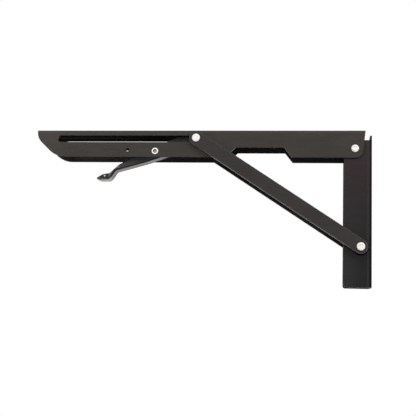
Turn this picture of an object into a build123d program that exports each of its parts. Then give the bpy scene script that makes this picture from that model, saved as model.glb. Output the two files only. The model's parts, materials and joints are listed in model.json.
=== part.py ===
from build123d import *
import os
from math import acos, atan2, cos, hypot, sin, sqrt, tau

# Folding shelf bracket, locked open.
#
# A folded steel arm carries the shelf and turns on a folded steel wall channel. Two flat
# struts run from the foot of the wall channel to studs that slide in the arm's slots, and a
# sprung lever holds the studs until its thumb pad is pressed. Sizes are in millimetres.
#
# The origin is midway between the two wall screws, on the face that lies on the wall.
# X runs from the room into the wall, Y across the bracket and Z up. The near side is -Y.
# A place on the arm is given by its reach, from the hinge axis towards the tip, and its
# rise above that axis.

os.makedirs("parts", exist_ok=True)

# ------------------------------------------------------------------ pivots
hinge_setback = 19.9  # wall face to the arm's hinge axis
hinge_height = 82.4  # middle of the wall screws up to the hinge axis
foot_setback = 13.0  # wall face to the struts' foot axis
foot_drop = 116.7  # hinge axis down to the foot axis
latch_reach = 189.4  # hinge axis to the slide studs, bracket open
slot_rise = 11.5  # hinge axis up to the slot's centre line
lever_setoff = 50.4  # slide studs to the lever's axis, bracket open
lever_fall = 15.3  # slot's centre line down to the lever's axis

# ------------------------------------------------------------------ arm channel
arm_width = 36.0
arm_height = 33.1
arm_sheet = 2.0
shelf_rise = 22.2  # hinge axis up to the shelf face
arm_tail = 12.3  # hinge axis to the arm's rear end
tail_lean = 3.6  # rear end leans in by this much at its lower corner
tail_corner = 9.0
tip_margin = 25.9  # front end of the slot to the arm's tip
nose_drop = 10.0  # shelf face down to where the nose would start to slope
nose_back = 24.2  # tip to where the lower edge would start
nose_rounds = (18.0, 29.0)  # radii at the upper and the lower end of that slope
slot_height = 8.3
slot_front_spare = 7.3  # free slot in front of the stud, bracket folded
slot_rear_spare = 0.3  # free slot behind the stud, bracket open
notch_rear = 33.0  # the notch reaches this far behind the folded foot axis
notch_front = 25.2  # and this far in front of it
notch_rear_lean = 9.3  # its rear end slopes by this much down to the lower edge
notch_front_lean = 12.0
notch_clearance = 1.3  # above the foot spacer, bracket folded
notch_corner = 1.5
spring_hole = 4.2
shelf_screw_hole = 5.5
front_screws = (60.0, 15.0)  # back from the tip to the two shelf screws there
rear_screws = (50.0, 150.0)  # reach of the two shelf screws near the wall

# ------------------------------------------------------------------ wall channel
wall_depth = 32.8
wall_sheet = 2.0
wall_foot = 81.2  # middle of the wall screws down to the lower end
wall_side_rise = 10.8  # hinge axis up to the top of the sides
wall_tab_rise = 6.8  # the back stands above the sides by this much
wall_tab_corner = 4.0
wall_corner = 3.0
wall_screw_hole = 6.0
wall_screw_spacing = 120.0
relief_size = 1.8  # bend relief at the lower end
relief_height = 1.2  # lower end up to the bend relief

# ------------------------------------------------------------------ struts
strut_width = 17.0
strut_sheet = 3.0
strut_gap = 2.4  # between the arm's side and a strut
strut_bevel = 0.5  # round the strut's outer face

# ------------------------------------------------------------------ rivets, studs and rings
rivet_shank = 6.0
rivet_head = 10.1
rivet_head_height = 2.4
hinge_head = 9.4
head_edge = 0.9  # straight side of a rivet head
head_dimple = 5.0  # set mark in the middle of a head
head_dimple_depth = 0.3
washer_diameter = 14.0
sleeve_diameter = 9.0
spacer_diameter = 13.0
stud_flange = 12.0
stud_flange_sheet = 1.2
slide_washer_diameter = 13.0
lever_rivet_shank = 5.6
lever_rivet_head = 8.3
lever_rivet_head_height = 1.3
lever_rivet_bore = 4.4
lever_rivet_bore_depth = 1.5
rolled_edge = 0.5
lever_ring_diameter = 9.0

# ------------------------------------------------------------------ lever and its spring
# Places on the lever are measured from its axis: towards the tip, then up.
lever_width = 18.0
lever_sheet = 1.5
lever_bend = 1.3
handle_start = (-16.4, -1.8)  # where the lever's floor begins
handle_bow = (13.0, -11.6)
handle_end = (50.2, -22.0)
pad_heel = (57.8, -33.5)
pad_toe = (70.2, -33.8)
pad_tip = (73.2, -32.7)
pad_brow = (65.6, -27.1)
pad_shoulder = (57.4, -25.8)
rim_end = (46.2, -15.3)  # top edge of the sides, where it drops to the pad
rim_middle = (31.2, -7.0)
rim_top = (0.7, 8.1)
catch_foot = (-13.1, 8.9)
catch_step = (-13.1, 14.4)
catch_brow = (-26.0, 19.9)
catch_top = 19.9
catch_end = -61.4
catch_heel_rise = 6.0
catch_belly = (-40.7, 4.0)
catch_clearance = 0.3  # round the stud's shoulder in the catch
# Rounding of the lever's corners, in the order they are drawn.
floor_rounds = (30.0, 5.0, 6.0, 4.0)
rim_rounds = (6.0, 3.0, 8.0, 20.0, 8.0, 1.5)
catch_rounds = (1.5, 3.0, 2.0, 3.0, 12.0)
spring_wire = 1.8
spring_radius = 4.2  # of the coil, to the middle of the wire
spring_turns = 4
spring_pitch = 2.0
spring_bend = 2.0
spring_anchor = (34.0, -0.1)
spring_hole_offset = 1.0  # the hole's middle lies above the wire
spring_leg = 26.0  # along the lever's floor
spring_tip = 0.4  # stands out of the arm's side

# ------------------------------------------------------------------ clearances
side_clearance = 0.6  # between the arm's sides and the wall channel's
running_clearance = 0.05  # radial, rivet in a turning hole
face_clearance = 0.1  # between faces that slide on each other
slide_clearance = 0.2  # each side of the slide washers
slot_clearance = 0.1  # above and below a stud in its slot
bend_outer = 2.8
bend_inner = 0.8

# ------------------------------------------------------------------ worked out from the above
hinge = (-hinge_setback, hinge_height)
foot = (-foot_setback, hinge_height - foot_drop)
foot_inset = hinge_setback - foot_setback
strut_length = hypot(latch_reach + foot_inset, foot_drop + slot_rise)
folded_reach = foot_drop + sqrt(strut_length**2 - (foot_inset + slot_rise) ** 2)
stud_shoulder = slot_height - 2 * slot_clearance
slot_front = folded_reach + stud_shoulder / 2 + slot_front_spare
slot_rear = latch_reach - stud_shoulder / 2 - slot_rear_spare
arm_reach = slot_front + tip_margin
shelf_screws = [arm_reach - setback for setback in front_screws] + list(rear_screws)
lower_rise = shelf_rise - arm_height
web_rise = shelf_rise - arm_sheet
notch_rise = spacer_diameter / 2 + notch_clearance - foot_inset
lever_reach = latch_reach + lever_setoff
lever_rise = slot_rise - lever_fall

arm_outside = arm_width / 2
arm_inside = arm_outside - arm_sheet
wall_outside = arm_inside - side_clearance
wall_inside = wall_outside - wall_sheet
strut_inside = arm_outside + strut_gap
strut_outside = strut_inside + strut_sheet
lever_outside = lever_width / 2
lever_inside = lever_outside - lever_sheet
wall_top = hinge_height + wall_side_rise
running_hole = rivet_shank / 2 + running_clearance
stud_flange_end = arm_inside - face_clearance
stud_shoulder_end = arm_outside + slide_clearance
tenon_end = strut_inside - slide_clearance
catch_radius = stud_shoulder / 2 + catch_clearance

SIDES = {"near": 1, "far": -1}


def arm_point(reach, rise):
    """Place on the arm, in the bracket's X and Z."""
    return (hinge[0] - reach, hinge[1] + rise)


def lever_point(reach, rise):
    """Place on the lever, measured from the lever's axis."""
    return arm_point(lever_reach + reach, lever_rise + rise)


slide = arm_point(latch_reach, slot_rise)
lever_axis = lever_point(0, 0)


def side_plane(side, distance):
    """Upright plane across Y at this distance out on the near or far side."""
    return Plane.XZ.offset(SIDES[side] * distance)


def axis_plane(centre):
    """Plane through a cross axis: its Y is the axis and its X the radius."""
    return Plane(origin=(centre[0], 0, centre[1]), x_dir=(1, 0, 0), z_dir=(0, 0, 1))


def cross_axis(centre):
    """Axis across the bracket through a place in X and Z."""
    return Axis(origin=(centre[0], 0, centre[1]), direction=(0, 1, 0))


def finish(part, name):
    """Name a piece and write it."""
    part.label = name
    export_step(part, f"parts/{name}.step")


def ring(name, centre, side, start, end, diameter, bore_radius):
    """Flat ring round a cross axis, from start to end out on one side."""
    with BuildPart() as body:
        with BuildSketch(side_plane(side, start)):
            with Locations(centre):
                Circle(diameter / 2)
                Circle(bore_radius, mode=Mode.SUBTRACT)
        extrude(amount=SIDES[side] * (end - start))
    finish(body.part, name)


def tube(name, centre, half_length, diameter, bore_radius):
    """Distance tube across the middle of the bracket."""
    with BuildPart() as body:
        with BuildSketch(Plane.XZ):
            with Locations(centre):
                Circle(diameter / 2)
                Circle(bore_radius, mode=Mode.SUBTRACT)
        extrude(amount=half_length, both=True)
    finish(body.part, name)


def head_outline(radius, height, seat, sign):
    """Points of a riveted head from its seat on the shank's axis side to its set mark."""
    crown = radius - (height - head_edge)
    top = seat + height
    return [
        (radius, sign * seat),
        (radius, sign * (seat + head_edge)),
        (crown, sign * top),
        (head_dimple / 2, sign * top),
        (head_dimple / 2 - head_dimple_depth, sign * (top - head_dimple_depth)),
        (0, sign * (top - head_dimple_depth)),
    ]


def long_rivet(name, centre, shank, head, seat):
    """Rivet right across the bracket with a head at each end."""
    far_half = head_outline(head / 2, rivet_head_height, seat, 1)
    near_half = head_outline(head / 2, rivet_head_height, seat, -1)
    with BuildPart() as body:
        with BuildSketch(axis_plane(centre)):
            with BuildLine():
                Polyline(
                    *reversed(near_half),
                    (shank / 2, -seat),
                    (shank / 2, seat),
                    *far_half,
                    close=True,
                )
            make_face()
        revolve(axis=cross_axis(centre))
    finish(body.part, name)


# ================================================================== wall channel
with BuildPart() as wall_channel:
    with BuildSketch(Plane.XZ):
        with BuildLine():
            FilletPolyline(
                (0, -wall_foot),
                (0, wall_top),
                (-wall_depth, wall_top),
                (-wall_depth, -wall_foot),
                radius=[0, 0, wall_corner, wall_corner],
                close=True,
            )
        make_face()
    extrude(amount=wall_outside, both=True)
    back_edges = wall_channel.edges().filter_by(Axis.Z).sort_by(Axis.X)[-2:]
    fillet(back_edges, bend_outer)
    with BuildSketch(Plane.XY.offset(-wall_foot)):
        with Locations((-wall_sheet, 0)):
            room = Rectangle(wall_depth, 2 * wall_inside, align=(Align.MAX, Align.CENTER))
        fillet(room.vertices().group_by(Axis.X)[-1], bend_inner)
    extrude(amount=wall_foot + wall_top, mode=Mode.SUBTRACT)
    # The back stands above the sides.
    with BuildSketch(Plane.YZ):
        with Locations((0, wall_top - wall_sheet)):
            tab = Rectangle(
                2 * (wall_outside - bend_outer),
                wall_sheet + wall_tab_rise,
                align=(Align.CENTER, Align.MIN),
            )
        fillet(tab.vertices().group_by(Axis.Y)[-1], wall_tab_corner)
    extrude(amount=-wall_sheet)
    # Screw holes in the back.
    with BuildSketch(Plane.YZ):
        with GridLocations(0, wall_screw_spacing, 1, 2):
            Circle(wall_screw_hole / 2)
    extrude(amount=-wall_sheet, mode=Mode.SUBTRACT)
    # Bend reliefs at the lower end, and the two rivet holes.
    with BuildSketch(Plane.XY.offset(relief_height - wall_foot)):
        with GridLocations(0, 2 * wall_outside - bend_outer, 1, 2):
            Rectangle(2 * relief_size, bend_outer)
    extrude(amount=relief_size, mode=Mode.SUBTRACT)
    with BuildSketch(Plane.XZ):
        with Locations(hinge):
            Circle(running_hole)
        with Locations(foot):
            Circle(rivet_shank / 2)
    extrude(amount=wall_outside, both=True, mode=Mode.SUBTRACT)
finish(wall_channel.part, "wall_channel")

# ================================================================== arm channel
with BuildPart() as arm_channel:
    with BuildSketch(Plane.XZ):
        with BuildLine():
            FilletPolyline(
                arm_point(-arm_tail, shelf_rise),
                arm_point(arm_reach, shelf_rise),
                arm_point(arm_reach, shelf_rise - nose_drop),
                arm_point(arm_reach - nose_back, lower_rise),
                arm_point(foot_drop + notch_front + notch_front_lean, lower_rise),
                arm_point(foot_drop + notch_front, notch_rise),
                arm_point(foot_drop - notch_rear, notch_rise),
                arm_point(foot_drop - notch_rear - notch_rear_lean, lower_rise),
                arm_point(tail_lean - arm_tail, lower_rise),
                radius=[
                    0,
                    0,
                    *nose_rounds,
                    notch_corner,
                    notch_corner,
                    notch_corner,
                    notch_corner,
                    tail_corner,
                ],
                close=True,
            )
        make_face()
    extrude(amount=arm_outside, both=True)
    shelf_edges = arm_channel.edges().filter_by(Axis.X).group_by(Axis.Z)[-1]
    fillet(shelf_edges, bend_outer)
    with BuildSketch(Plane.YZ.offset(hinge[0] + arm_tail)):
        with Locations((0, hinge[1] + web_rise)):
            inside = Rectangle(2 * arm_inside, arm_height, align=(Align.CENTER, Align.MAX))
        fillet(inside.vertices().group_by(Axis.Y)[-1], bend_inner)
    extrude(amount=-(arm_reach + arm_tail), mode=Mode.SUBTRACT)
    # Slots, rivet holes and the spring's hole.
    with BuildSketch(Plane.XZ):
        with Locations(arm_point((slot_rear + slot_front) / 2, slot_rise)):
            SlotOverall(slot_front - slot_rear, slot_height)
        with Locations(hinge):
            Circle(rivet_shank / 2)
        with Locations(arm_point(lever_reach, lever_rise)):
            Circle(lever_rivet_shank / 2)
    extrude(amount=arm_outside, both=True, mode=Mode.SUBTRACT)
    with BuildSketch(Plane.XZ):
        with Locations(lever_point(spring_anchor[0], spring_anchor[1] + spring_hole_offset)):
            Circle(spring_hole / 2)
    extrude(amount=arm_outside, mode=Mode.SUBTRACT)
    # Screw holes in the shelf face.
    with BuildSketch(Plane.XY.offset(hinge[1] + web_rise)):
        for reach in shelf_screws:
            with Locations((hinge[0] - reach, 0)):
                Circle(shelf_screw_hole / 2)
    extrude(amount=arm_sheet, mode=Mode.SUBTRACT)
finish(arm_channel.part, "arm_channel")

# ================================================================== rivets, rings and tubes
long_rivet("hinge_rivet", hinge, rivet_shank, hinge_head, arm_outside)
long_rivet("foot_rivet", foot, rivet_shank, rivet_head, strut_outside + face_clearance)
tube("hinge_sleeve", hinge, wall_inside, sleeve_diameter, running_hole)
tube("foot_sleeve", foot, wall_inside, sleeve_diameter, rivet_shank / 2)

for side in SIDES:
    ring(
        f"hinge_washer_{side}",
        hinge,
        side,
        wall_outside,
        arm_inside - face_clearance,
        washer_diameter,
        running_hole,
    )
    ring(
        f"foot_spacer_{side}",
        foot,
        side,
        wall_outside,
        strut_inside - face_clearance,
        spacer_diameter,
        rivet_shank / 2,
    )
    ring(
        f"slide_washer_{side}",
        slide,
        side,
        stud_shoulder_end,
        tenon_end,
        slide_washer_diameter,
        rivet_shank / 2,
    )
    ring(
        f"lever_washer_{side}",
        lever_axis,
        side,
        lever_outside + face_clearance,
        arm_inside,
        lever_ring_diameter,
        lever_rivet_shank / 2,
    )

# ================================================================== struts
strut_run = (slide[0] - foot[0], 0, slide[1] - foot[1])

for side, sign in SIDES.items():
    with BuildPart() as strut_bar:
        # Drawn along the strut, from the foot axis to the stud's axis.
        inner_face = Plane(
            origin=(foot[0], -sign * strut_inside, foot[1]),
            x_dir=strut_run,
            z_dir=(0, -1, 0),
        )
        with BuildSketch(inner_face):
            with Locations((strut_length / 2, 0)):
                SlotCenterToCenter(strut_length, strut_width)
            Circle(running_hole, mode=Mode.SUBTRACT)
            with Locations((strut_length, 0)):
                Circle(rivet_shank / 2, mode=Mode.SUBTRACT)
        extrude(amount=sign * strut_sheet)
        outer_face = strut_bar.faces().sort_by(Axis.Y)[0 if side == "near" else -1]
        chamfer(outer_face.outer_wire().edges(), strut_bevel)
    finish(strut_bar.part, f"strut_bar_{side}")

    # Riveted end that holds the strut on its stud.
    with BuildPart() as strut_rivet:
        with BuildSketch(axis_plane(slide)):
            with BuildLine():
                Polyline(
                    (0, -sign * strut_inside),
                    (rivet_shank / 2, -sign * strut_inside),
                    (rivet_shank / 2, -sign * strut_outside),
                    *head_outline(rivet_head / 2, rivet_head_height, strut_outside, -sign),
                    close=True,
                )
            make_face()
        revolve(axis=cross_axis(slide))
    finish(strut_rivet.part, f"strut_rivet_{side}")

    # Stud that runs in the slot.
    with BuildPart() as slide_stud:
        with BuildSketch(axis_plane(slide)):
            with BuildLine():
                Polyline(
                    (0, -sign * (stud_flange_end - stud_flange_sheet)),
                    (stud_flange / 2, -sign * (stud_flange_end - stud_flange_sheet)),
                    (stud_flange / 2, -sign * stud_flange_end),
                    (stud_shoulder / 2, -sign * stud_flange_end),
                    (stud_shoulder / 2, -sign * stud_shoulder_end),
                    (rivet_shank / 2, -sign * stud_shoulder_end),
                    (rivet_shank / 2, -sign * tenon_end),
                    (0, -sign * tenon_end),
                    close=True,
                )
            make_face()
        revolve(axis=cross_axis(slide))
    finish(slide_stud.part, f"slide_stud_{side}")

# ================================================================== release lever
floor_line = [handle_start, handle_bow, handle_end, pad_heel, pad_toe, pad_tip]
tip_run = hypot(pad_tip[0] - pad_toe[0], pad_tip[1] - pad_toe[1])
tip_top = (
    pad_tip[0] - lever_sheet * (pad_tip[1] - pad_toe[1]) / tip_run,
    pad_tip[1] + lever_sheet * (pad_tip[0] - pad_toe[0]) / tip_run,
)
rim_line = [tip_top, pad_brow, pad_shoulder, rim_end, rim_middle, rim_top, catch_foot]
catch_line = [
    catch_step,
    catch_brow,
    (catch_end, catch_top),
    (catch_end, catch_heel_rise),
    catch_belly,
]
lever_corners = [lever_point(*place) for place in floor_line + rim_line + catch_line]
lever_rounds = [0, *floor_rounds, 0, 0, *rim_rounds, *catch_rounds]

with BuildLine(Plane.XZ) as floor:
    FilletPolyline(*[lever_point(*place) for place in floor_line], radius=list(floor_rounds))

with BuildPart() as release_lever:
    # Two side plates with the handle's sides and the catches.
    for side, sign in SIDES.items():
        with BuildSketch(side_plane(side, lever_inside)):
            with BuildLine():
                FilletPolyline(*lever_corners, radius=lever_rounds, close=True)
            make_face()
            with Locations(slide):
                Circle(catch_radius, mode=Mode.SUBTRACT)
                Rectangle(
                    2 * catch_radius,
                    2 * catch_radius,
                    align=(Align.CENTER, Align.MIN),
                    mode=Mode.SUBTRACT,
                )
            with Locations(lever_axis):
                Circle(lever_rivet_shank / 2 + running_clearance, mode=Mode.SUBTRACT)
        extrude(amount=sign * lever_sheet)
    # Floor of the handle and the pad, which joins the plates.
    with BuildSketch(Plane.XZ):
        with BuildLine():
            FilletPolyline(*lever_corners, radius=lever_rounds, close=True)
        make_face()
        with BuildLine():
            FilletPolyline(
                *[lever_point(*place) for place in floor_line],
                radius=list(floor_rounds),
            )
        trace(line_width=2 * lever_sheet, mode=Mode.INTERSECT)
    extrude(amount=lever_outside, both=True)
    folds = release_lever.edges().filter_by(
        lambda e: abs(abs((e @ 0.5).Y) - lever_outside) < 0.01
        and floor.wire().distance_to(Vertex((e @ 0.5).X, 0, (e @ 0.5).Z)) < 0.01
    )
    fillet(folds, lever_bend)
finish(release_lever.part, "release_lever")

# Semi-tubular rivet: hollow at the near end, domed at the far one.
with BuildPart() as lever_rivet:
    far_top = arm_outside + lever_rivet_head_height
    with BuildSketch(axis_plane(lever_axis)):
        with BuildLine():
            Polyline(
                (0, far_top),
                (0, lever_rivet_bore_depth - far_top),
                (lever_rivet_bore / 2, lever_rivet_bore_depth - far_top),
                (lever_rivet_bore / 2, -far_top),
                (lever_rivet_head / 2 - rolled_edge, -far_top),
                (lever_rivet_head / 2, rolled_edge - far_top),
                (lever_rivet_head / 2, -arm_outside),
                (lever_rivet_shank / 2, -arm_outside),
                (lever_rivet_shank / 2, arm_outside),
                (lever_rivet_head / 2, arm_outside),
                (lever_rivet_head / 2, far_top - rolled_edge),
                (lever_rivet_head / 2 - 2 * rolled_edge, far_top),
                close=True,
            )
        make_face()
    revolve(axis=cross_axis(lever_axis))
finish(lever_rivet.part, "lever_rivet")

# ================================================================== spring
# One leg runs to the hole in the arm's near side, the other bears on the lever's floor.
floor_slope = atan2(handle_end[1] - handle_bow[1], handle_end[0] - handle_bow[0])
floor_depth = handle_bow[0] * sin(floor_slope) - handle_bow[1] * cos(floor_slope)
leg_depth = floor_depth - lever_sheet - spring_wire / 2 - running_clearance
bearing = (
    spring_leg * cos(floor_slope) + leg_depth * sin(floor_slope),
    spring_leg * sin(floor_slope) - leg_depth * cos(floor_slope),
)
anchor_turn = atan2(spring_anchor[1], spring_anchor[0]) + acos(spring_radius / hypot(*spring_anchor))
bearing_turn = atan2(bearing[1], bearing[0]) - acos(spring_radius / hypot(*bearing))
wound = spring_turns * tau + (bearing_turn - anchor_turn) % tau
coil_length = spring_pitch * wound / tau
leg_drift = spring_pitch / (tau * spring_radius)
anchor_run = sqrt(hypot(*spring_anchor) ** 2 - spring_radius**2)
bearing_run = sqrt(hypot(*bearing) ** 2 - spring_radius**2)


def spring_point(place, across):
    """Point of the spring from its place on the lever and its distance across."""
    x, z = lever_point(*place)
    return (x, across, z)


coil_plane = Plane(
    origin=spring_point((0, 0), -coil_length / 2),
    x_dir=(-cos(anchor_turn), 0, sin(anchor_turn)),
    z_dir=(0, 1, 0),
)
coil_start = (spring_radius * cos(anchor_turn), spring_radius * sin(anchor_turn))
coil_end = (spring_radius * cos(bearing_turn), spring_radius * sin(bearing_turn))

with BuildPart() as lever_spring:
    with BuildLine() as anchor_leg:
        FilletPolyline(
            spring_point(spring_anchor, -arm_outside - spring_tip),
            spring_point(spring_anchor, -coil_length / 2 - leg_drift * anchor_run),
            spring_point(coil_start, -coil_length / 2),
            radius=spring_bend,
        )
    coil = coil_plane.location * Edge.make_helix(spring_pitch, coil_length, spring_radius)
    with BuildLine() as bearing_leg:
        Line(
            spring_point(coil_end, coil_length / 2),
            spring_point(bearing, coil_length / 2 + leg_drift * bearing_run),
        )
    path = Wire([*anchor_leg.edges(), coil, *bearing_leg.edges()])
    with BuildSketch(Plane(origin=path @ 0, z_dir=path % 0)):
        Circle(spring_wire / 2)
    sweep(path=path)
finish(lever_spring.part, "lever_spring")
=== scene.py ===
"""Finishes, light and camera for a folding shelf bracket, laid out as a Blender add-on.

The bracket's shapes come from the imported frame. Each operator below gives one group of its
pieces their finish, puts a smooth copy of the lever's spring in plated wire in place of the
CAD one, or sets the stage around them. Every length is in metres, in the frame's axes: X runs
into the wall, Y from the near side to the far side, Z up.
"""

import json
import math

import bmesh
import bpy
import numpy as np
from bpy.props import FloatProperty, FloatVectorProperty, PointerProperty
from mathutils import Matrix, Vector


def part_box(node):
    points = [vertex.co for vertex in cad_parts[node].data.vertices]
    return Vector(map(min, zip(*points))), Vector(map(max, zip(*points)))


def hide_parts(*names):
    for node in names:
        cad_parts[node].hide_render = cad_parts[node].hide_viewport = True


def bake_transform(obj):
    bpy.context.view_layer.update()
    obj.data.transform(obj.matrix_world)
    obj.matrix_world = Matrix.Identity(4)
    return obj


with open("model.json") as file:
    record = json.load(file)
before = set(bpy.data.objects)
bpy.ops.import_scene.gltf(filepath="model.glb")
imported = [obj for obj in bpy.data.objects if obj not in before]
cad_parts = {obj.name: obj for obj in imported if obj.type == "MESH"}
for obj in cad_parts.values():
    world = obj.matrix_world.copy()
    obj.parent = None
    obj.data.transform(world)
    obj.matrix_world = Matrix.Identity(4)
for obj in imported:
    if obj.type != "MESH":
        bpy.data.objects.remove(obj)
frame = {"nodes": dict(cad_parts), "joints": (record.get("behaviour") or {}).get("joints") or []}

bl_info = {
    "name": "Folding shelf bracket",
    "version": (1, 0, 0),
    "blender": (4, 5, 0),
    "location": "3D View > Sidebar > Bracket",
    "description": "Dresses a folding shelf bracket and lights it",
    "category": "Object",
}

NODES = frame["nodes"]
SIDES = ("near", "far")
RIVETS = ("hinge_rivet", "foot_rivet", "lever_rivet", "strut_rivet_near", "strut_rivet_far")
SLEEVES = ("hinge_sleeve", "foot_sleeve")
PAIRED_RINGS = ("hinge_washer", "foot_spacer", "slide_washer", "lever_washer", "slide_stud")

# How the streaks in the enamel are stretched, and each piece's coat.
LEVEL = (0.08, 1.0, 1.0)
UPRIGHT = (1.0, 1.0, 0.08)
# A coat's pale-corner share sets wear and, on corners that face down, a painted highlight.
COATS = {
    "wall": {"gloss": 0.26, "corner": 1.0, "spread": 0.35, "rubbing_and_sheen": 0.8, "grain": UPRIGHT},
    "arm": {"gloss": 0.36, "corner": 0.5, "spread": 0.35, "rubbing_and_sheen": 0.4, "grain": LEVEL},
    "strut": {"gloss": 0.34, "corner": 2.0, "spread": 0.12, "rubbing_and_sheen": 1.7, "grain": LEVEL},
    "lever": {"gloss": 0.34, "corner": 4.0, "spread": 0.35, "rubbing_and_sheen": 0.15, "grain": LEVEL},
}

# Colours of single places, from dark to light within each group.
BLACK = (0.002, 0.002, 0.002, 1.0)
# Darker colour of bends and corners that face up.
UPWARD_DARK = (0.006, 0.006, 0.004, 1.0)
# Painted shade on the inner faces of the arm and the struts.
ARM_INSIDE_SHADE = (0.017, 0.017, 0.017, 1.0)
STRUT_INSIDE_SHADE = (0.004, 0.004, 0.004, 1.0)
WALL_FRONT = (0.0195, 0.0180, 0.0182, 1.0)
WALL_HIGH = (0.0240, 0.0165, 0.0180, 1.0)
# Painted highlight where the wall channel's bends start.
BEND_HIGHLIGHT = (0.035, 0.03, 0.03, 1.0)
# Painted shade on the lever's pad sides and along the neck's borders.
LEVER_SHADE = (0.010, 0.010, 0.010, 1.0)
PAD_TOE = (0.085, 0.082, 0.080, 1.0)
# Painted reflection of the floor on the underside of the lever's grip.
GRIP_FLOOR_REFLECTION = (0.13, 0.125, 0.118, 1.0)
# Painted highlight down the middle of the lever's neck.
NECK_HIGHLIGHT = (0.17, 0.165, 0.16, 1.0)
# Painted highlight along the lower edge of the pad's sides.
PAD_HEM_HIGHLIGHT = (0.30, 0.285, 0.26, 1.0)
# Painted reflection of the floor on the underside of the lever's pad.
PAD_FLOOR_REFLECTION = (0.36, 0.34, 0.295, 1.0)
# Painted glint on the lever pad's side.
PAD_GLINT = (0.55, 0.53, 0.50, 1.0)
# Painted shade round the rivets' rims and on the wall of the lever rivet's hollow.
RIVET_SHADE_BROWN = (0.10, 0.075, 0.055, 1.0)
TOOL_MARK = (0.40, 0.38, 0.34, 1.0)
PIT_FLOOR = (0.60, 0.47, 0.38, 1.0)
WHITE = (1.0, 1.0, 1.0, 1.0)

ARM_SHEET = 0.002
SPRING_HOLE_REACH = 0.034  # from the lever's axis towards the arm's tip
LEVER_RIVET_PIT = 0.0023
RIVET_RINGS = 9000.0  # turning lines, as radians to the metre
RING_RINGS = 14000.0
INSIDE_SHADE_START = 0.0001  # out from an inner face, where its painted shade begins to end
INSIDE_SHADE_FADE = 0.0005
MERGE_DISTANCE = 1e-7
BEVEL_SAMPLES = 6

# Place of each area lamp, and the length of its side.
LAMPS = {
    "key_lamp": ((-1.3, -1.6, 1.1), 0.8),
    "fill_lamp": ((1.1, -1.5, 1.0), 0.8),
    "top_lamp": ((0.1, -1.2, 1.6), 0.6),
}


# ---------------------------------------------------------------------------- places
def node_box(name):
    """Lowest and highest corner of a CAD node as arrays."""
    low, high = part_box(name)
    return np.array(low), np.array(high)


def node_middle(name):
    """Middle of a CAD node's box."""
    low, high = node_box(name)
    return (low + high) / 2


def joint_place(name):
    """Place of a hinge joint's axis at rest, as plain numbers."""
    joint = next(j for j in frame["joints"] if j["name"] == name)
    return [float(number) for number in joint["pos_m"]]


# ---------------------------------------------------------------------------- shader kit
class Term:
    """A number on its way through the shader. Sums and products on it add Math nodes."""

    def __init__(self, shader, socket):
        self.shader = shader
        self.socket = socket

    def _math(self, operation, *values):
        return self.shader.value("ShaderNodeMath", {"operation": operation}, *values)

    def __add__(self, other):
        return self._math("ADD", self, other)

    def __radd__(self, other):
        return self._math("ADD", other, self)

    def __sub__(self, other):
        return self._math("SUBTRACT", self, other)

    def __rsub__(self, other):
        return self._math("SUBTRACT", other, self)

    def __mul__(self, other):
        return self._math("MULTIPLY", self, other)

    def __rmul__(self, other):
        return self._math("MULTIPLY", other, self)

    def __pow__(self, other):
        return self._math("POWER", self, other)

    def above(self, other):
        return self._math("MAXIMUM", self, other)

    def below(self, other):
        return self._math("MINIMUM", self, other)

    def size(self):
        return self._math("ABSOLUTE", self)

    def wave(self):
        return self._math("SINE", self)

    def ramp(self, start, end):
        """0 before start, 1 after end, and smooth in between."""
        smooth = {"interpolation_type": "SMOOTHSTEP"}
        return self.shader.value("ShaderNodeMapRange", smooth, self, start, end, 0.0, 1.0)

    def fade(self, start, end):
        """1 before start, 0 after end, and smooth in between."""
        return 1.0 - self.ramp(start, end)

    def band(self, start, full, ebb, end):
        """1 from full to ebb, 0 before start and after end."""
        return self.ramp(start, full) * self.fade(ebb, end)

    def near(self, middle, core, end):
        """1 within core of middle, 0 farther than end from it."""
        return (self - middle).size().fade(core, end)


def distance(across, up):
    """Length of a step with these two parts."""
    return (across * across + up * up) ** 0.5


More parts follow.
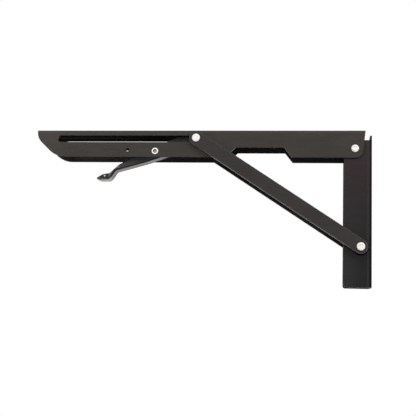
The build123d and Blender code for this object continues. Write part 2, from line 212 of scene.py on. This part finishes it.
class Shader:
    """A material's nodes, ending in one Principled BSDF."""

    def __init__(self, name, **constants):
        self.material = bpy.data.materials.new(name)
        self.material.use_nodes = True
        self.tree = self.material.node_tree
        self.tree.nodes.clear()
        self.surface = self.node("ShaderNodeBsdfPrincipled", {})
        self.output = self.node("ShaderNodeOutputMaterial", {})
        self.put(self.output.inputs["Surface"], self.surface.outputs[0])
        for socket, value in constants.items():
            self.surface.inputs[socket.replace("_", " ")].default_value = value
        self.place = self.node("ShaderNodeTexCoord", {}).outputs["Object"]

    def put(self, target, value):
        """Links a socket or a Term to a socket, or sets a plain value on it."""
        if isinstance(value, Term):
            value = value.socket
        if isinstance(value, bpy.types.NodeSocket):
            self.tree.links.new(value, target)
        else:
            target.default_value = value

    def node(self, kind, settings, *values, **named):
        """Adds a node: its settings first, then its sockets by order or by name."""
        made = self.tree.nodes.new(kind)
        for key, value in settings.items():
            setattr(made, key, value)
        targets = list(zip(made.inputs, values))
        targets += [(made.inputs[key.replace("_", " ")], value) for key, value in named.items()]
        for target, value in targets:
            if value is not None:
                self.put(target, value)
        return made

    def value(self, kind, settings, *values, **named):
        """Adds a node and gives its first output as a number."""
        return Term(self, self.node(kind, settings, *values, **named).outputs[0])

    def axes(self, vector=None):
        """The three coordinates of a place, in metres."""
        split = self.node("ShaderNodeSeparateXYZ", {}, vector or self.place)
        return [Term(self, out) for out in split.outputs]

    def stretched(self, factors):
        """The place with each axis multiplied by its factor."""
        return self.node(
            "ShaderNodeVectorMath", {"operation": "MULTIPLY"}, self.place, factors
        ).outputs[0]

    def noise(self, size, detail=2.0, roughness=0.5, vector=None):
        """Cloudy value around 0.5, with clouds about size metres across."""
        place = vector or self.place
        clouds = {"Scale": 1.0 / size, "Detail": detail, "Roughness": roughness}
        return self.value("ShaderNodeTexNoise", {}, Vector=place, **clouds)

    def cells(self, size):
        """Distance to the nearest of scattered points about size metres apart."""
        return self.value("ShaderNodeTexVoronoi", {}, Vector=self.place, Scale=1.0 / size)

    def blend(self, factor, first, second):
        """Colour between two colours. The mix node keeps its colours in sockets 6, 7 and 2."""
        mix = self.node("ShaderNodeMix", {"data_type": "RGBA", "clamp_factor": True})
        for socket, value in ((0, factor), (6, first), (7, second)):
            self.put(mix.inputs[socket], value)
        return mix.outputs[2]

    def edges(self, radius, sharpness):
        """Mask of the corners, and the normal that runs smoothly round them."""
        rounded = self.node("ShaderNodeBevel", {"samples": BEVEL_SAMPLES}, radius).outputs[0]
        flat = self.node("ShaderNodeNewGeometry", {}).outputs["Normal"]
        same = self.node("ShaderNodeVectorMath", {"operation": "DOT_PRODUCT"}, rounded, flat)
        turn = 1.0 - Term(self, same.outputs["Value"])
        return turn.ramp(0.0, sharpness), rounded

    def own(self, normal):
        """A normal in the piece's own axes, so that a mask made of it moves with the piece."""
        turned = {"vector_type": "NORMAL", "convert_from": "WORLD", "convert_to": "OBJECT"}
        return self.node("ShaderNodeVectorTransform", turned, normal).outputs[0]

    def bump(self, height, depth, strength, normal=None):
        """Normal with the relief of height, depth metres deep."""
        relief = {"Strength": strength, "Distance": depth, "Height": height, "Normal": normal}
        return self.node("ShaderNodeBump", {}, **relief).outputs[0]

    def feed(self, **sources):
        """Links what varies to the surface."""
        for socket, value in sources.items():
            self.put(self.surface.inputs[socket.replace("_", " ")], value)
        return self.material


def rgba(colour):
    """Colour with full cover."""
    return (*colour, 1.0)


def scaled(colour, factor):
    """Colour made lighter or darker."""
    return tuple(channel * factor for channel in colour[:3])


# ---------------------------------------------------------------------------- finishes
def enamel(name, finish, colour, coat, touch):
    """Baked enamel on folded sheet steel.

    Colour: dark, drifting a little over centimetres, paler where corners are rubbed, most of
    all on the corners that face down, where the pale steel is also a painted highlight that
    stands for the floor's reflection. Relief: a fine orange peel, and a few dust nibs.
    Roughness: drifts over the sheet, and rubbed corners are smoother. Bends and corners that
    face up are darker and duller. coat holds the gloss, the corner radius and how far its wear
    spreads, how pale the corners get with wear and painted highlight, and how the streaks are
    stretched. touch gives the piece's own colours and its painted light and shade, and a mask
    of its dull black places, mostly painted shade, or None where it has none.
    """
    paint = Shader(name, IOR=1.5, Specular_IOR_Level=coat["gloss"])
    drift = paint.noise(0.045, 3.0)
    rubbed, rounded = paint.edges(finish.edge_round * coat["corner"], coat["spread"])
    facing = paint.axes(paint.own(rounded))
    down = (0.0 - facing[2]).ramp(0.05, 0.5)
    scuffs = paint.noise(0.006, 4.0, 0.7, paint.stretched((0.35, 1.0, 1.0))).ramp(0.4, 0.7)
    # Rubbed corners: wear, and on the corners that face down also a painted highlight for the
    # floor's reflection.
    wear_and_sheen = rubbed * (0.12 + 0.88 * down) * (0.6 + 0.4 * scuffs)
    nibs = paint.cells(0.011).fade(0.02, 0.045)
    peel = paint.noise(0.0011, 2.0, 0.6)
    streaks = paint.noise(0.0025, 4.0, 0.6, paint.stretched(coat["grain"]))
    shade = 0.5 * drift + 0.5 * streaks
    # Bends and corners that face up are darker and duller.
    upward_dark = facing[2].band(0.1, 0.5, 0.9, 0.99)
    tone = paint.blend(shade, rgba(scaled(colour, 0.6)), rgba(scaled(colour, 1.4)))
    tone = paint.blend(upward_dark * 0.85, tone, UPWARD_DARK)
    rough = finish.enamel_roughness + 0.1 * (drift - 0.5) + 0.08 * scuffs - 0.08 * wear_and_sheen
    rough = rough + 0.4 * upward_dark
    tone, dull = touch(paint, tone, facing)
    wear_and_sheen = (wear_and_sheen * (finish.enamel_wear_and_sheen * coat["rubbing_and_sheen"])).below(1.0)
    tone = paint.blend(wear_and_sheen, tone, rgba(finish.bare_steel_and_sheen))
    metal = wear_and_sheen * 0.7
    # The dull black places are painted shade on most pieces.
    if dull is not None:
        tone = paint.blend(dull, tone, BLACK)
        metal = dull.above(metal)
        rough = rough + 0.7 * dull
    normal = paint.bump(peel * 0.6 + nibs * 1.4, 0.00005, 0.35, rounded)
    return paint.feed(Base_Color=tone, Roughness=rough, Normal=normal, Metallic=metal)


def inside(paint, tone, inner_face, shade):
    """Paints shade onto what lies nearer the middle than inner_face, where an inside wall is in
    shade.
    """
    start = inner_face + INSIDE_SHADE_START
    shaded_middle = paint.axes()[1].size().fade(start, start + INSIDE_SHADE_FADE)
    return paint.blend(shaded_middle, tone, shade)


def zinc(name, finish, colour, centre, turned, head=0.0, pit=0.0):
    """Bright zinc plate on turned or headed steel.

    Rings run round the cross axis through centre: rings = wave(radius * turned). Small
    spangles and rubbed corners vary the colour and the roughness. head is the radius of a
    rivet's head, whose rim is dull with a brown painted shade and whose middle is darker where
    the tool pressed. pit is the radius of the hollow in a semi-tubular rivet, whose wall gets
    a dark band of painted shade round a lighter floor.
    """
    plate = Shader(name, Metallic=0.2, IOR=1.5)
    x, _, z = plate.axes()
    radius = distance(x - float(centre[0]), z - float(centre[2]))
    rings = (radius * turned).wave()
    spangle = plate.cells(0.0009)
    cloud = plate.noise(0.004, 3.0)
    rubbed, rounded = plate.edges(finish.edge_round * 0.6, 0.3)
    clouded = plate.blend(cloud, rgba(scaled(colour, 0.94)), rgba(colour))
    tone = plate.blend(rubbed * 0.6, clouded, rgba(scaled(colour, 1.12)))
    rough = finish.zinc_roughness + 0.12 * (cloud - 0.5) + 0.06 * spangle - 0.08 * rubbed
    if head:
        rim = radius.ramp(head * 0.88, head)
        pressed = radius.near(head * 0.42, head * 0.04, head * 0.2)
        stain_and_shade = plate.noise(0.0016, 2.0).ramp(0.35, 0.6)
        tone = plate.blend(pressed * stain_and_shade * 0.45, tone, TOOL_MARK)
        # Painted brown shade round the rim.
        tone = plate.blend(rim, tone, RIVET_SHADE_BROWN)
        rough = rough + 0.2 * rim
    if pit:
        tone = plate.blend(radius.fade(pit * 0.5, pit * 0.6), tone, PIT_FLOOR)
        # Painted shade: a dark band on the wall of the hollow.
        tone = plate.blend(radius.near(pit * 0.8, pit * 0.15, pit * 0.35), tone, RIVET_SHADE_BROWN)
    normal = plate.bump(rings * 0.5 + spangle * 0.5, 0.00002, 0.5, rounded)
    return plate.feed(Base_Color=tone, Roughness=rough, Normal=normal)


def drawn_wire(name, finish, colour):
    """Zinc plated spring wire: fine drawing lines, and darker clouds in the plate."""
    wire = Shader(name, Metallic=1.0, IOR=1.5)
    lines = wire.noise(0.0004, 1.0, 0.5, wire.stretched((0.1, 1.0, 1.0)))
    cloud = wire.noise(0.005, 3.0)
    tone = wire.blend(cloud, rgba(scaled(colour, 0.75)), rgba(colour))
    rough = finish.zinc_roughness + 0.1 * cloud
    return wire.feed(Base_Color=tone, Roughness=rough, Normal=wire.bump(lines, 0.00002, 0.4))


def dress(node, material):
    """Gives a CAD node its finish."""
    target = NODES[node]
    target.data.materials.clear()
    target.data.materials.append(material)


# ---------------------------------------------------------------------------- settings
def colour_setting(name, description, default):
    """A colour that a user can change."""
    return FloatVectorProperty(
        name=name, description=description, subtype="COLOR", size=3, min=0.0, max=1.0,
        default=default,
    )


def share_setting(name, description, default):
    """A share from 0 to 1."""
    return FloatProperty(
        name=name, description=description, subtype="FACTOR", min=0.0, max=1.0, default=default
    )


def length_setting(name, description, default, least=0.0):
    """A length in metres."""
    return FloatProperty(
        name=name, description=description, subtype="DISTANCE", unit="LENGTH", min=least,
        default=default,
    )


def power_setting(name, description, default):
    """The power of a lamp in watts."""
    return FloatProperty(
        name=name, description=description, unit="POWER", min=0.0, default=default
    )


class BRACKET_PG_finish(bpy.types.PropertyGroup):
    """Colours and roughness of the bracket's finishes, and the length of its spring's coil."""

    arm_colour: colour_setting(
        "Arm enamel", "Colour of the arm's enamel", (0.0335, 0.0273, 0.0227)
    )
    wall_colour: colour_setting(
        "Wall channel enamel", "Colour of the wall channel's enamel", (0.0095, 0.0097, 0.0090)
    )
    strut_colour: colour_setting(
        "Strut enamel", "Colour of the struts' enamel", (0.0288, 0.0238, 0.0228)
    )
    lever_colour: colour_setting(
        "Lever enamel", "Colour of the lever's enamel", (0.047, 0.045, 0.043)
    )
    # Pale steel of rubbed corners, also used as a painted highlight on corners that face down.
    bare_steel_and_sheen: colour_setting(
        "Rubbed corners", "Colour that shows at rubbed corners", (0.42, 0.41, 0.39)
    )
    zinc_colour: colour_setting("Zinc", "Colour of the zinc plate", (0.96, 0.95, 0.92))
    ring_colour: colour_setting(
        "Rings", "Colour of the rings, tubes, studs and spring", (0.62, 0.62, 0.60)
    )
    enamel_roughness: share_setting("Enamel roughness", "Roughness of the enamel", 0.28)
    # Also sets the painted highlight on corners that face down.
    enamel_wear_and_sheen: share_setting("Wear", "How far rubbed corners show through", 0.6)
    zinc_roughness: share_setting("Zinc roughness", "Roughness of the zinc plate", 0.34)
    edge_round: length_setting(
        "Corner rounding", "Radius that the corners catch light over", 0.0005
    )
    coil_half_length: length_setting(
        "Coil half length",
        "From the middle of the spring's coil to where its turning with the lever is complete",
        0.0035,
        least=0.0005,
    )


class BRACKET_PG_stage(bpy.types.PropertyGroup):
    """Camera, light and floor."""

    camera_place: FloatVectorProperty(
        name="Camera place", description="Where the camera stands", subtype="TRANSLATION",
        unit="LENGTH", size=3, default=(-0.06492, -1.06366, -0.13982),
    )
    camera_turn: FloatVectorProperty(
        name="Camera turn", description="Pitch above level, roll, and yaw to the left",
        subtype="EULER", unit="ROTATION", size=3,
        default=(math.radians(8.068), math.radians(-1.595), math.radians(6.986)),
    )
    lens: FloatProperty(
        name="Lens", description="Focal length in millimetres on a 36 mm sensor",
        unit="CAMERA", min=10.0, default=77.14,
    )
    floor_drop: length_setting("Floor drop", "From the origin down to the floor", 0.45, 0.1)
    floor_radius: length_setting("Floor radius", "Radius of the round floor", 1.6, 0.5)
    floor_colour: colour_setting("Floor colour", "Colour of the floor", (0.86, 0.86, 0.86))
    room_light: FloatProperty(
        name="Room light", description="Strength of the even light from all around",
        min=0.0, default=0.45,
    )
    front_shine: share_setting(
        "Front shine", "How white the room in front looks in reflections", 0.5
    )
    key_power: power_setting("Key lamp", "Power of the lamp at the left", 12.0)
    fill_power: power_setting("Fill lamp", "Power of the lamp at the right", 16.0)
    top_power: power_setting("Top lamp", "Power of the lamp high in front", 14.0)


# ---------------------------------------------------------------------------- operators
class BracketOperator:
    """What the operators share."""

    bl_options = {"REGISTER", "UNDO"}

    def execute(self, context):
        self.work(context.scene.bracket_finish, context.scene.bracket_stage)
        return {"FINISHED"}


class BRACKET_OT_wall(BracketOperator, bpy.types.Operator):
    """Gives the wall channel its enamel"""

    bl_idname = "bracket.wall"
    bl_label = "Dress wall channel"

    def work(self, finish, stage):
        coat = COATS["wall"]
        dress("wall_channel", enamel("wall_enamel", finish, finish.wall_colour, coat, self.bends))

    @staticmethod
    def bends(paint, tone, facing):
        """The sides darken towards the back and the foot. The bends are dull and dark with painted
        shade.

        A painted highlight runs where each bend starts. Round the foot rivet a dull dark band is
        painted shadow of the strut's foot end. Places are on X and Z, from the wall face and the
        middle of the screws.
        """
        front_edge, back = -0.034, -0.006
        low, high = -0.06, 0.08
        line_place, line_core, line_end = -0.0046, 0.0003, 0.0014
        bend_start, bend_full = -0.0034, -0.0020
        # Painted shadow round the strut's foot, as radii from the foot's axis.
        ring = (0.0080, 0.0088, 0.0092, 0.0102)

        x, _, z = paint.axes()
        foot_x, _, foot_z = joint_place("strut_swing")
        tone = paint.blend(x.fade(front_edge, back), tone, WALL_FRONT)
        tone = paint.blend(z.ramp(low, high), tone, WALL_HIGH)
        # Painted highlight where the bends start.
        line = x.near(line_place, line_core, line_end)
        tone = paint.blend(line * 0.5, tone, BEND_HIGHLIGHT)
        # Painted shade on the bends, and painted shadow round the strut's foot.
        bend = x.ramp(bend_start, bend_full) * facing[1].size().ramp(0.1, 0.3)
        return tone, (0.7 * bend).above(distance(x - foot_x, z - foot_z).band(*ring))


class BRACKET_OT_arm(BracketOperator, bpy.types.Operator):
    """Gives the arm its enamel"""

    bl_idname = "bracket.arm"
    bl_label = "Dress arm"

    def work(self, finish, stage):
        coat = COATS["arm"]
        dress("arm_channel", enamel("arm_enamel", finish, finish.arm_colour, coat, self.sides))

    @staticmethod
    def sides(paint, tone, facing):
        """The inside is nearly black with painted shade, and a dark dull patch at the top of the
        spring's hole is painted shade too.

        The edges that face down are dull.
        """
        hole_shade_rise, hole_shade_core, hole_shade_end = 0.0021, 0.0010, 0.0022

        x, _, z = paint.axes()
        pivot_x, _, pivot_z = joint_place("lever_press")
        inner_face = float(node_box("arm_channel")[1][1]) - ARM_SHEET
        hole_x = pivot_x - SPRING_HOLE_REACH
        # Painted shade at the top of the spring's hole.
        stain_and_shade = distance(x - hole_x, z - (pivot_z + hole_shade_rise)).fade(hole_shade_core, hole_shade_end)
        foot = (0.0 - facing[2]).ramp(0.93, 0.99)
        return inside(paint, tone, inner_face, ARM_INSIDE_SHADE), stain_and_shade.above(foot * 0.9)


class BRACKET_OT_struts(BracketOperator, bpy.types.Operator):
    """Gives both struts their enamel"""

    bl_idname = "bracket.struts"
    bl_label = "Dress struts"

    def work(self, finish, stage):
        coat = COATS["strut"]
        material = enamel("strut_enamel", finish, finish.strut_colour, coat, self.faces)
        for side in SIDES:
            dress(f"strut_bar_{side}", material)

    @staticmethod
    def faces(paint, tone, facing):
        """The faces towards the arm are nearly black with painted shade, and nothing is dull."""
        inner_face = float(node_box("strut_bar_far")[0][1])
        return inside(paint, tone, inner_face, STRUT_INSIDE_SHADE), None


class BRACKET_OT_lever(BracketOperator, bpy.types.Operator):
    """Gives the release lever its enamel"""

    bl_idname = "bracket.lever"
    bl_label = "Dress lever"

    def work(self, finish, stage):
        coat = COATS["lever"]
        paint = enamel("lever_enamel", finish, finish.lever_colour, coat, self.handle)
        dress("release_lever", paint)

    @staticmethod
    def handle(paint, tone, facing):
        """The handle's underside is painted pale as a painted reflection of the floor below, and
        its folds and the edges of the grip's underside are dull and dark with painted shade.

        height is the distance above the lower outline, which is the pad's level line, the
        slope of the neck and the long line of the grip. The pad's sides get painted shade, with a
        pale toe, a painted highlight along their lower edge and one painted glint. A painted
        highlight runs down the middle of the neck, with painted shade along its borders. Places
        are measured from the lever's axis, reach towards the tip and then rise.
        """
        pad_level = -0.0336
        heel_reach, heel_rise = 0.0578, -0.0335
        grip_reach, grip_rise = 0.0502, -0.0220
        pad_start, pad_full = 0.0545, 0.0575
        toe_start, toe_full = 0.0685, 0.0705
        neck_span = (0.044, 0.048, 0.056, 0.060)
        # Painted glint on the pad's side.
        glint_reach, glint_height, glint_core, glint_end = 0.0633, 0.0045, 0.0005, 0.0016
        neck_highlight_height, neck_highlight_core, neck_highlight_end = 0.0032, 0.0005, 0.0018
        strip_start, strip_full = 0.0052, 0.0068
        hem_core, hem_end = 0.0007, 0.0016

        x, y, z = paint.axes()
        pivot_x, _, pivot_z = joint_place("lever_press")
        reach, rise = pivot_x - x, z - pivot_z
        neck_line = (reach - heel_reach) * 0.834 + (rise - heel_rise) * 0.551
        grip_line = (reach - grip_reach) * 0.269 + (rise - grip_rise) * 0.963
        height = (rise - pad_level).below(neck_line.above(grip_line))

        side = facing[1].size()
        # The folds are painted shade.
        fold = side.band(0.2, 0.5, 0.9, 0.985)
        # Faces that face down, where the floor's reflection is painted.
        under = side.fade(0.15, 0.4) * (0.0 - facing[2]).ramp(0.3, 0.5)
        plate = side.ramp(0.9, 0.985)
        pad = reach.ramp(pad_start, pad_full)
        toe = reach.ramp(toe_start, toe_full) * plate
        glint = distance(reach - glint_reach, height - glint_height).fade(glint_core, glint_end)
        neck = reach.band(*neck_span) * plate
        neck_highlight = height.near(neck_highlight_height, neck_highlight_core, neck_highlight_end)
        strip = y.size().ramp(strip_start, strip_full) * (1.0 - pad)
        # Painted highlight along the lower edge of the pad's sides.
        hem = plate * pad * (1.0 - toe) * height.fade(hem_core, hem_end)

        # Painted light and shade on the lever: shade on the pad's sides and the neck's borders,
        # highlights on the neck and the pad's lower edge, a glint, and the floor's reflection on
        # the underside.
        tone = paint.blend(plate * pad, tone, LEVER_SHADE)
        tone = paint.blend(toe, tone, PAD_TOE)
        tone = paint.blend(glint * plate, tone, PAD_GLINT)
        tone = paint.blend(neck * (1.0 - neck_highlight), tone, LEVER_SHADE)
        tone = paint.blend(neck * neck_highlight, tone, NECK_HIGHLIGHT)
        tone = paint.blend(under, tone, paint.blend(pad, GRIP_FLOOR_REFLECTION, PAD_FLOOR_REFLECTION))
        tone = paint.blend(hem, tone, PAD_HEM_HIGHLIGHT)
        # Dull black: painted shade on the folds and along the edges of the grip's underside.
        return tone, (fold * 0.8).above(under * strip * 0.9) * (1.0 - hem)


class BRACKET_OT_rivets(BracketOperator, bpy.types.Operator):
    """Gives the rivets their bright zinc"""

    bl_idname = "bracket.rivets"
    bl_label = "Dress rivets"

    def work(self, finish, stage):
        for node in RIVETS:
            low, high = node_box(node)
            head = float(high[0] - low[0]) / 2
            pit = LEVER_RIVET_PIT if node == "lever_rivet" else 0.0
            place = (low + high) / 2
            plate = zinc(f"{node}_zinc", finish, finish.zinc_colour, place, RIVET_RINGS, head, pit)
            dress(node, plate)


class BRACKET_OT_rings(BracketOperator, bpy.types.Operator):
    """Gives the rings, spacers, tubes and studs their zinc"""

    bl_idname = "bracket.rings"
    bl_label = "Dress rings and studs"

    def work(self, finish, stage):
        rings = [f"{ring}_{side}" for ring in PAIRED_RINGS for side in SIDES]
        for node in (*SLEEVES, *rings):
            place = node_middle(node)
            dress(node, zinc(f"{node}_zinc", finish, finish.ring_colour, place, RING_RINGS))


class BRACKET_OT_spring(BracketOperator, bpy.types.Operator):
    """Makes the lever spring wind with the lever, in plated wire"""
    # Puts a smooth copy of the lever spring, in plated wire, in place of the CAD one

    bl_idname = "bracket.spring"
    bl_label = "Wind spring"

    def work(self, finish, stage):
        """Copies the spring's mesh, joins it into one smooth skin in plated wire, and puts it in
        place of the CAD node."""
        mesh = NODES["lever_spring"].data.copy()
        self.merge(mesh)
        mesh.materials.clear()
        mesh.materials.append(drawn_wire("spring_wire", finish, finish.ring_colour))
        spring = bpy.data.objects.new("wound_spring", mesh)
        bpy.context.scene.collection.objects.link(spring)
        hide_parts("lever_spring")
        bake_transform(spring)

    @staticmethod
    def merge(mesh):
        """Joins the loose triangles of a CAD node's copy into one smooth skin."""
        skin = bmesh.new()
        skin.from_mesh(mesh)
        bmesh.ops.remove_doubles(skin, verts=skin.verts, dist=MERGE_DISTANCE)
        skin.to_mesh(mesh)
        skin.free()
        mesh.shade_smooth()


class BRACKET_OT_stage(BracketOperator, bpy.types.Operator):
    """Sets the camera, the lamps, the room and the floor"""

    bl_idname = "bracket.stage"
    bl_label = "Set stage"

    def work(self, finish, stage):
        self.camera(stage)
        self.room(stage)
        powers = (stage.key_power, stage.fill_power, stage.top_power)
        for (name, (place, size)), power in zip(LAMPS.items(), powers):
            self.lamp(name, place, size, power)
        self.floor(stage)
        bpy.context.scene.view_settings.view_transform = "Standard"

    def camera(self, stage):
        """Camera axes: yaw about up, then pitch about its right, then roll about its view."""
        pitch, roll, yaw = stage.camera_turn
        turn = (
            Matrix.Rotation(yaw, 3, "Z")
            @ Matrix.Rotation(pitch, 3, "X")
            @ Matrix.Rotation(roll, 3, "Y")
            @ Matrix.Rotation(math.pi / 2, 3, "X")
        )
        data = bpy.data.cameras.new("camera")
        data.lens = stage.lens
        data.sensor_width = 36.0
        camera = bpy.data.objects.new("camera", data)
        camera.matrix_world = Matrix.Translation(stage.camera_place) @ turn.to_4x4()
        bpy.context.scene.collection.objects.link(camera)
        bpy.context.scene.camera = camera

    def lamp(self, name, place, size, power):
        """Square area lamp that faces the bracket."""
        data = bpy.data.lights.new(name, "AREA")
        data.size = size
        data.energy = power
        lamp = bpy.data.objects.new(name, data)
        aim = node_middle("arm_channel") - np.array(place)
        lamp.rotation_euler = Vector(aim).to_track_quat("-Z", "Y").to_euler()
        lamp.location = place
        bpy.context.scene.collection.objects.link(lamp)

    def room(self, stage):
        """White behind and below for reflections, dimmer in front, and softer as light.

        The front is where a ray's direction along Y is below front, and the change to the
        white behind ends at behind. As light the front has a share of the room's strength.
        """
        front, behind, front_share = -0.6, -0.1, 0.6
        world = bpy.data.worlds.new("room")
        world.use_nodes = True
        world.node_tree.nodes.clear()
        add = world.node_tree.nodes.new
        link = world.node_tree.links.new
        rays = add("ShaderNodeLightPath")
        toward = add("ShaderNodeSeparateXYZ")
        link(add("ShaderNodeTexCoord").outputs["Generated"], toward.inputs[0])

        def between(factor, low, high, smooth=False):
            """Value from low to high as factor goes from 0 to 1."""
            made = add("ShaderNodeMapRange")
            made.interpolation_type = "SMOOTHSTEP" if smooth else "LINEAR"
            link(factor, made.inputs["Value"])
            for socket, value in (("To Min", low), ("To Max", high)):
                if isinstance(value, bpy.types.NodeSocket):
                    link(value, made.inputs[socket])
                else:
                    made.inputs[socket].default_value = value
            return made

        ahead = between(toward.outputs["Y"], 0.0, 1.0, True)
        ahead.inputs["From Min"].default_value = front
        ahead.inputs["From Max"].default_value = behind
        shine = between(ahead.outputs[0], stage.front_shine, 1.0)
        soft = between(ahead.outputs[0], stage.room_light * front_share, stage.room_light)
        glossy = between(rays.outputs["Is Glossy Ray"], soft.outputs[0], shine.outputs[0])
        strength = between(rays.outputs["Is Camera Ray"], glossy.outputs[0], 1.0)
        sky = add("ShaderNodeBackground")
        sky.inputs["Color"].default_value = WHITE
        link(strength.outputs[0], sky.inputs["Strength"])
        link(sky.outputs[0], add("ShaderNodeOutputWorld").inputs["Surface"])
        bpy.context.scene.world = world

    def floor(self, stage):
        """Round floor: rings of points at radius r and angle a, at (r cos a, r sin a)."""
        rings, spokes = 6, 96
        radius = np.linspace(0.0, stage.floor_radius, rings + 1)[1:]
        angle = np.arange(spokes) * math.tau / spokes
        r, a = np.meshgrid(radius, angle, indexing="ij")
        middle = node_middle("arm_channel")
        points = np.stack(
            [middle[0] + r * np.cos(a), middle[1] + r * np.sin(a), 0 * r - stage.floor_drop], -1
        ).reshape(-1, 3)
        points = np.vstack([[middle[0], middle[1], -stage.floor_drop], points])
        k = np.arange(spokes)
        after = (k + 1) % spokes
        fan = np.stack([0 * k, 1 + k, 1 + after], -1).tolist()
        row = (np.arange(rings - 1)[:, None] * spokes + 1).repeat(spokes, 1)
        quads = np.stack([row + k, row + spokes + k, row + spokes + after, row + after], -1)
        mesh = bpy.data.meshes.new("floor")
        mesh.from_pydata(points.tolist(), [], fan + quads.reshape(-1, 4).tolist())
        mesh.materials.append(self.paper(stage.floor_colour))
        floor = bpy.data.objects.new("floor", mesh)
        bpy.context.scene.collection.objects.link(floor)

    @staticmethod
    def paper(colour):
        """Pale paper that glows where the camera or a reflection sees it.

        It is clear from below, so that the bracket can be looked at from there too.
        """
        glow_share = 0.7
        paper = Shader("floor_paper", Roughness=0.9, Specular_IOR_Level=0.1)
        grain = paper.noise(0.004, 3.0)
        tone = paper.blend(grain, rgba(scaled(colour, 0.98)), rgba(colour))
        paper.feed(Base_Color=tone, Normal=paper.bump(grain, 0.0002, 0.2))
        rays = paper.node("ShaderNodeLightPath", {}).outputs
        by_camera = Term(paper, rays["Is Camera Ray"])
        by_reflection = Term(paper, rays["Is Glossy Ray"])
        glow = paper.node("ShaderNodeEmission", {}, WHITE, 1.0).outputs[0]
        clear = paper.node("ShaderNodeBsdfTransparent", {}).outputs[0]
        below = paper.node("ShaderNodeNewGeometry", {}).outputs["Backfacing"]
        seen = by_camera.above(by_reflection) * glow_share
        lit = paper.node("ShaderNodeMixShader", {}, seen, paper.surface.outputs[0], glow)
        one_way = paper.node("ShaderNodeMixShader", {}, below, lit.outputs[0], clear)
        paper.put(paper.output.inputs["Surface"], one_way.outputs[0])
        return paper.material


class BRACKET_PT_panel(bpy.types.Panel):
    """Lists the operators and their settings."""

    bl_idname = "BRACKET_PT_panel"
    bl_label = "Folding shelf bracket"
    bl_space_type = "VIEW_3D"
    bl_region_type = "UI"
    bl_category = "Bracket"

    def draw(self, context):
        for operator in OPERATORS:
            self.layout.operator(operator.bl_idname)
        for group in (context.scene.bracket_finish, context.scene.bracket_stage):
            box = self.layout.box()
            for key in group.__annotations__:
                box.prop(group, key)


GROUPS = (BRACKET_PG_finish, BRACKET_PG_stage)
OPERATORS = (
    BRACKET_OT_wall,
    BRACKET_OT_arm,
    BRACKET_OT_struts,
    BRACKET_OT_lever,
    BRACKET_OT_rivets,
    BRACKET_OT_rings,
    BRACKET_OT_spring,
    BRACKET_OT_stage,
)


def register():
    """Adds the settings, the operators and the panel."""
    for cls in (*GROUPS, *OPERATORS, BRACKET_PT_panel):
        bpy.utils.register_class(cls)
    bpy.types.Scene.bracket_finish = PointerProperty(type=BRACKET_PG_finish)
    bpy.types.Scene.bracket_stage = PointerProperty(type=BRACKET_PG_stage)


def unregister():
    """Removes them again."""
    del bpy.types.Scene.bracket_stage
    del bpy.types.Scene.bracket_finish
    for cls in reversed((*GROUPS, *OPERATORS, BRACKET_PT_panel)):
        bpy.utils.unregister_class(cls)


def main():
    """Runs every operator."""
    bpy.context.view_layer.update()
    register()
    for operator in OPERATORS:
        group, name = operator.bl_idname.split(".")
        getattr(getattr(bpy.ops, group), name)()


if __name__ == "__main__":
    main()
